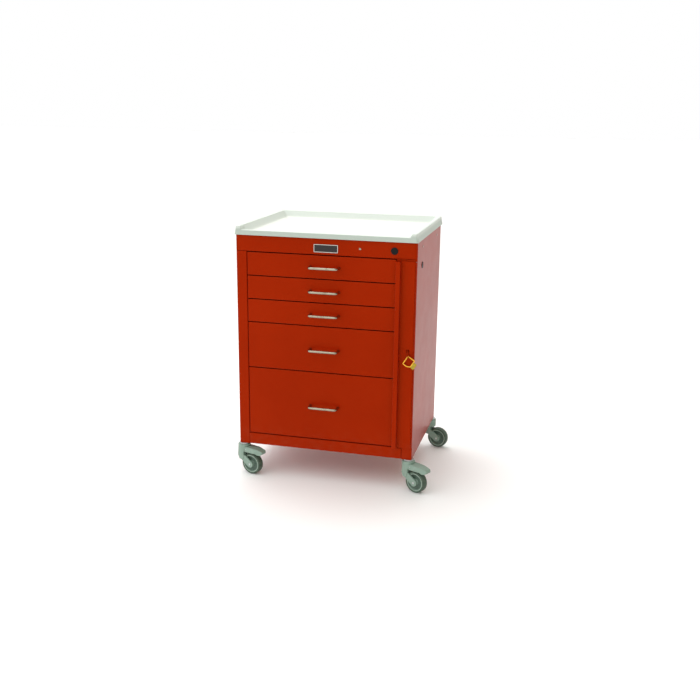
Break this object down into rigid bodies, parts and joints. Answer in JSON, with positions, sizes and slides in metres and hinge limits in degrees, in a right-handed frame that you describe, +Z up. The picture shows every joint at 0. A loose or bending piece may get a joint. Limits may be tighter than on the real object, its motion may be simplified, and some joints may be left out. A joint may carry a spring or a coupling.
{
  "type": "crash cart",
  "caption": "Steel drawer cabinet on swivel casters with a moulded tray top, bow pulls and a hinged locking bar held shut by a plastic seal.",
  "frame": {"origin": "on the floor under the centre of the cabinet's plan", "axes": "+Z up, drawers open towards -Y, hinged bar on the +X side"},
  "size_m": [0.6874, 0.5113, 0.8704],
  "materials": {
    "red_paint": "semi-gloss powder coat",
    "zinc_steel": "bright zinc plate",
    "box_steel": "satin light grey powder coat",
    "tray_plastic": "satin moulded plastic",
    "badge_metal": "bright rim, dark field",
    "black_plastic": "satin",
    "chrome": "polished",
    "seal_plastic": "translucent yellow",
    "seal_tag_plastic": "olive yellow",
    "caster_grey": "satin grey nylon",
    "tyre": "dark grey rubber"
  },
  "bodies": {
    "cabinet": {"left_side_panel": "red_paint", "right_side_panel": "red_paint", "back_panel": "red_paint", "top_deck": "red_paint", "base_pan": "red_paint", "top_rail": "red_paint", "bottom_rail": "red_paint", "slide_posts": "red_paint", "slide_outer_members": "zinc_steel", "tray_top": "tray_plastic", "badge_plate": "badge_metal", "hole_plugs": "black_plastic", "rivets": "chrome", "hinge_fixed_leaf": "red_paint", "hinge_pin": "zinc_steel", "lock_tongue": "red_paint", "caster_stems": "zinc_steel"},
    "breakaway_bar": {"breakaway_bar": "red_paint", "hinge_moving_leaf": "red_paint", "seal_loop": "seal_plastic", "seal_tag": "seal_tag_plastic"},
    "drawer_1": {"drawer_1_front": "red_paint", "drawer_1_box": "box_steel", "drawer_1_handle": "chrome"},
    "drawer_1_slides": {"drawer_1_slide_middles": "zinc_steel"},
    "drawer_2": {"drawer_2_front": "red_paint", "drawer_2_box": "box_steel", "drawer_2_handle": "chrome"},
    "drawer_2_slides": {"drawer_2_slide_middles": "zinc_steel"},
    "drawer_3": {"drawer_3_front": "red_paint", "drawer_3_box": "box_steel", "drawer_3_handle": "chrome"},
    "drawer_3_slides": {"drawer_3_slide_middles": "zinc_steel"},
    "drawer_4": {"drawer_4_front": "red_paint", "drawer_4_box": "box_steel", "drawer_4_handle": "chrome"},
    "drawer_4_slides": {"drawer_4_slide_middles": "zinc_steel"},
    "drawer_5": {"drawer_5_front": "red_paint", "drawer_5_box": "box_steel", "drawer_5_handle": "chrome"},
    "drawer_5_slides": {"drawer_5_slide_middles": "zinc_steel"},
    "front_left_caster": {"front_left_fork": "caster_grey", "front_left_axle": "zinc_steel"},
    "front_left_wheel": {"front_left_hub": "caster_grey", "front_left_tyre": "tyre"},
    "front_left_brake": {"front_left_brake_pedal": "caster_grey"},
    "front_right_caster": {"front_right_fork": "caster_grey", "front_right_axle": "zinc_steel"},
    "front_right_wheel": {"front_right_hub": "caster_grey", "front_right_tyre": "tyre"},
    "front_right_brake": {"front_right_brake_pedal": "caster_grey"},
    "rear_left_caster": {"rear_left_fork": "caster_grey", "rear_left_axle": "zinc_steel"},
    "rear_left_wheel": {"rear_left_hub": "caster_grey", "rear_left_tyre": "tyre"},
    "rear_right_caster": {"rear_right_fork": "caster_grey", "rear_right_axle": "zinc_steel"},
    "rear_right_wheel": {"rear_right_hub": "caster_grey", "rear_right_tyre": "tyre"}
  },
  "joints": [
    {"name": "bar_hinge", "type": "hinge", "parent": "cabinet", "child": "breakaway_bar", "pos_m": [0.3022, -0.2311, 0.4689], "axis": [0, 0, 1], "range_deg": [0, 110]},
    {"name": "drawer_1_slide", "type": "slide", "parent": "cabinet", "child": "drawer_1", "axis": [0, -1, 0], "range_m": [0, 0.4]},
    {"name": "drawer_1_slide_middle", "type": "slide", "parent": "cabinet", "child": "drawer_1_slides", "axis": [0, -1, 0], "range_m": [0, 0.2]},
    {"name": "drawer_2_slide", "type": "slide", "parent": "cabinet", "child": "drawer_2", "axis": [0, -1, 0], "range_m": [0, 0.4]},
    {"name": "drawer_2_slide_middle", "type": "slide", "parent": "cabinet", "child": "drawer_2_slides", "axis": [0, -1, 0], "range_m": [0, 0.2]},
    {"name": "drawer_3_slide", "type": "slide", "parent": "cabinet", "child": "drawer_3", "axis": [0, -1, 0], "range_m": [0, 0.4]},
    {"name": "drawer_3_slide_middle", "type": "slide", "parent": "cabinet", "child": "drawer_3_slides", "axis": [0, -1, 0], "range_m": [0, 0.2]},
    {"name": "drawer_4_slide", "type": "slide", "parent": "cabinet", "child": "drawer_4", "axis": [0, -1, 0], "range_m": [0, 0.4]},
    {"name": "drawer_4_slide_middle", "type": "slide", "parent": "cabinet", "child": "drawer_4_slides", "axis": [0, -1, 0], "range_m": [0, 0.2]},
    {"name": "drawer_5_slide", "type": "slide", "parent": "cabinet", "child": "drawer_5", "axis": [0, -1, 0], "range_m": [0, 0.4]},
    {"name": "drawer_5_slide_middle", "type": "slide", "parent": "cabinet", "child": "drawer_5_slides", "axis": [0, -1, 0], "range_m": [0, 0.2]},
    {"name": "front_left_swivel", "type": "hinge", "parent": "cabinet", "child": "front_left_caster", "pos_m": [-0.2933, -0.2171, 0.095], "axis": [0, 0, 1], "continuous": true},
    {"name": "front_left_wheel_spin", "type": "hinge", "parent": "front_left_caster", "child": "front_left_wheel", "pos_m": [-0.26062, -0.22647, 0.0375], "axis": [0.2756, 0.9613, 0], "continuous": true},
    {"name": "front_left_brake_pedal_tilt", "type": "hinge", "parent": "front_left_caster", "child": "front_left_brake", "pos_m": [-0.27715, -0.22173, 0.0885], "axis": [0.2756, 0.9613, 0], "range_deg": [0, 8]},
    {"name": "front_right_swivel", "type": "hinge", "parent": "cabinet", "child": "front_right_caster", "pos_m": [0.2933, -0.2171, 0.095], "axis": [0, 0, 1], "continuous": true},
    {"name": "front_right_wheel_spin", "type": "hinge", "parent": "front_right_caster", "child": "front_right_wheel", "pos_m": [0.32411, -0.23147, 0.0375], "axis": [0.4226, 0.9063, 0], "continuous": true},
    {"name": "front_right_brake_pedal_tilt", "type": "hinge", "parent": "front_right_caster", "child": "front_right_brake", "pos_m": [0.30853, -0.2242, 0.0885], "axis": [0.4226, 0.9063, 0], "range_deg": [0, 8]},
    {"name": "rear_left_swivel", "type": "hinge", "parent": "cabinet", "child": "rear_left_caster", "pos_m": [-0.2933, 0.2171, 0.095], "axis": [0, 0, 1], "continuous": true},
    {"name": "rear_left_wheel_spin", "type": "hinge", "parent": "rear_left_caster", "child": "rear_left_wheel", "pos_m": [-0.26135, 0.20547, 0.0375], "axis": [0.342, 0.9397, 0], "continuous": true},
    {"name": "rear_right_swivel", "type": "hinge", "parent": "cabinet", "child": "rear_right_caster", "pos_m": [0.2933, 0.2171, 0.095], "axis": [0, 0, 1], "continuous": true},
    {"name": "rear_right_wheel_spin", "type": "hinge", "parent": "rear_right_caster", "child": "rear_right_wheel", "pos_m": [0.32643, 0.20945, 0.0375], "axis": [0.225, 0.9744, 0], "continuous": true}
  ],
  "couplings": [
    {"joint": "drawer_1_slide_middle", "follows": "drawer_1_slide", "ratio": 0.5},
    {"joint": "drawer_2_slide_middle", "follows": "drawer_2_slide", "ratio": 0.5},
    {"joint": "drawer_3_slide_middle", "follows": "drawer_3_slide", "ratio": 0.5},
    {"joint": "drawer_4_slide_middle", "follows": "drawer_4_slide", "ratio": 0.5},
    {"joint": "drawer_5_slide_middle", "follows": "drawer_5_slide", "ratio": 0.5}
  ]
}
